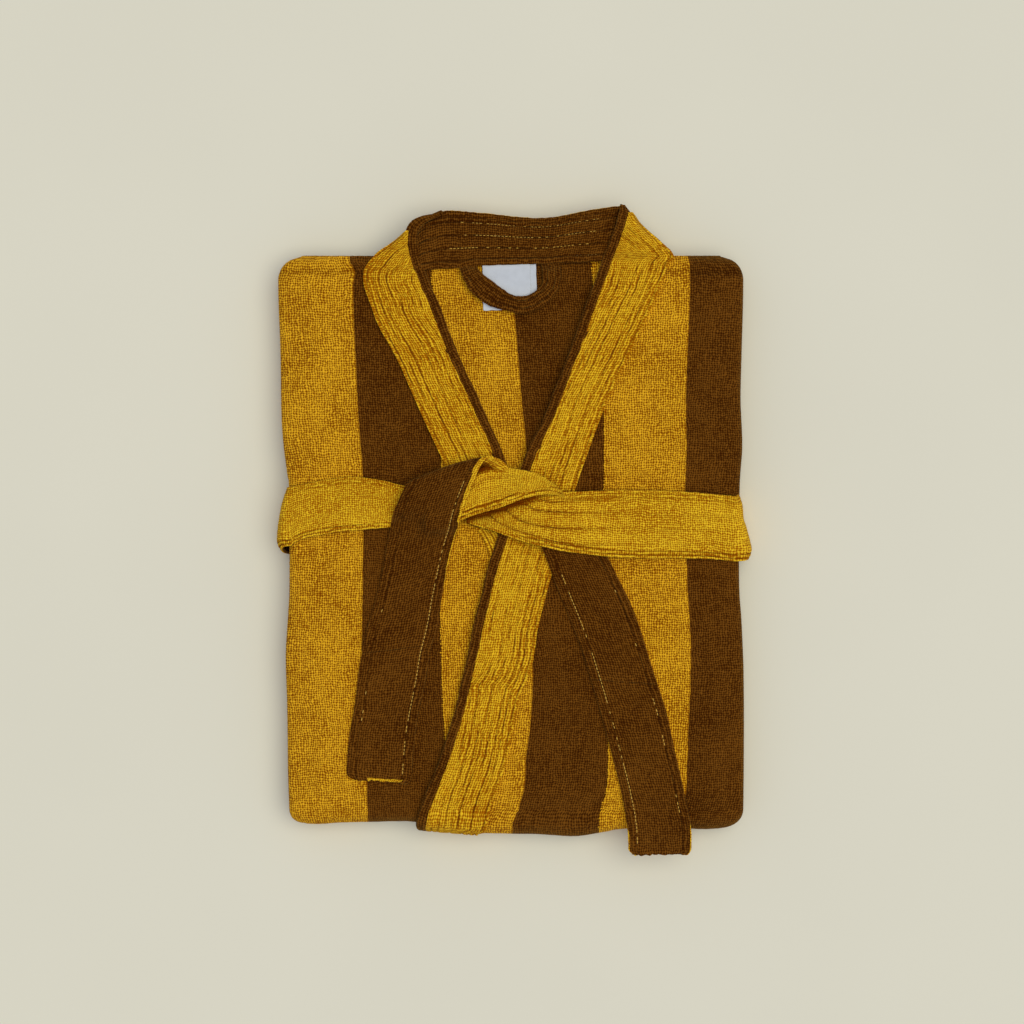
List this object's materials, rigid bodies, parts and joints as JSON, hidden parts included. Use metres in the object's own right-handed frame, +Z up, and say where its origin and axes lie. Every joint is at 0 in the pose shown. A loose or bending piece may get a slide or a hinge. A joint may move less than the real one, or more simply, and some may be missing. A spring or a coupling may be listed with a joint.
{
  "type": "folded bathrobe",
  "caption": "Folded terry bathrobe with wide vertical stripes, a banded collar and hanging loop, tied round the middle with its own belt.",
  "frame": {"origin": "middle of the whole object's footprint, on the plane the folded robe rests on", "axes": "+Z up from the rest plane, +Y from the bottom fold towards the collar, +X towards the wearer's left"},
  "size_m": [0.433, 0.596, 0.0527],
  "materials": {
    "striped_terry": "striped looped terry, ochre and brown bands 74 mm wide",
    "ochre_terry": "looped terry, ochre, stitched in rows",
    "brown_terry": "looped terry, dark brown",
    "ochre_thread": "cotton sewing thread, ochre",
    "white_tape": "woven satin label tape, white, blank"
  },
  "bodies": {
    "robe": {"left_front_panel": "striped_terry", "right_front_panel": "striped_terry", "back_panel": "striped_terry", "left_sleeve": "striped_terry", "right_sleeve": "striped_terry", "left_pocket": "striped_terry", "right_pocket": "striped_terry", "left_front_band": "ochre_terry", "right_front_band": "ochre_terry", "collar_band": "ochre_terry", "left_band_facing": "brown_terry", "right_band_facing": "brown_terry", "collar_facing": "brown_terry", "collar_topstitch": "ochre_thread", "neck_label": "white_tape", "care_label": "white_tape", "left_belt_loop": "brown_terry", "right_belt_loop": "brown_terry"},
    "hanging_loop": {"hanging_loop": "brown_terry"},
    "belt": {"belt_wrap": "ochre_terry", "belt_knot": "ochre_terry", "belt_left_tail_root": "brown_terry"},
    "left_tail_upper": {"belt_left_tail_upper": "brown_terry", "belt_left_tail_upper_stitching": "ochre_thread"},
    "left_tail_lower": {"belt_left_tail_lower": "brown_terry", "belt_left_tail_lower_stitching": "ochre_thread"},
    "right_tail_upper": {"belt_right_tail_upper": "brown_terry", "belt_right_tail_upper_stitching": "ochre_thread"},
    "right_tail_lower": {"belt_right_tail_lower": "brown_terry", "belt_right_tail_lower_stitching": "ochre_thread"}
  },
  "joints": [
    {"name": "belt_slide", "type": "slide", "parent": "robe", "child": "belt", "axis": [0, 1, 0], "range_m": [-0.025, 0.025]},
    {"name": "hanging_loop_flip", "type": "hinge", "parent": "robe", "child": "hanging_loop", "pos_m": [0, 0.243, 0.0355], "axis": [-1, 0, 0], "range_deg": [0, 150]},
    {"name": "left_tail_lift", "type": "hinge", "parent": "belt", "child": "left_tail_upper", "pos_m": [-0.075, -0.031, 0.05114], "axis": [-0.9744, 0.225, 0], "range_deg": [0, 110]},
    {"name": "left_tail_curl", "type": "hinge", "parent": "left_tail_upper", "child": "left_tail_lower", "pos_m": [-0.09705, -0.12649, 0.0375], "axis": [-0.9744, 0.225, 0], "range_deg": [0, 90]},
    {"name": "right_tail_lift", "type": "hinge", "parent": "belt", "child": "right_tail_upper", "pos_m": [0.065, -0.0355, 0.0447], "axis": [-0.9681, -0.2504, 0], "range_deg": [0, 110]},
    {"name": "right_tail_curl", "type": "hinge", "parent": "right_tail_upper", "child": "right_tail_lower", "pos_m": [0.0963, -0.15652, 0.0447], "axis": [-0.9681, -0.2504, 0], "range_deg": [0, 90]}
  ]
}
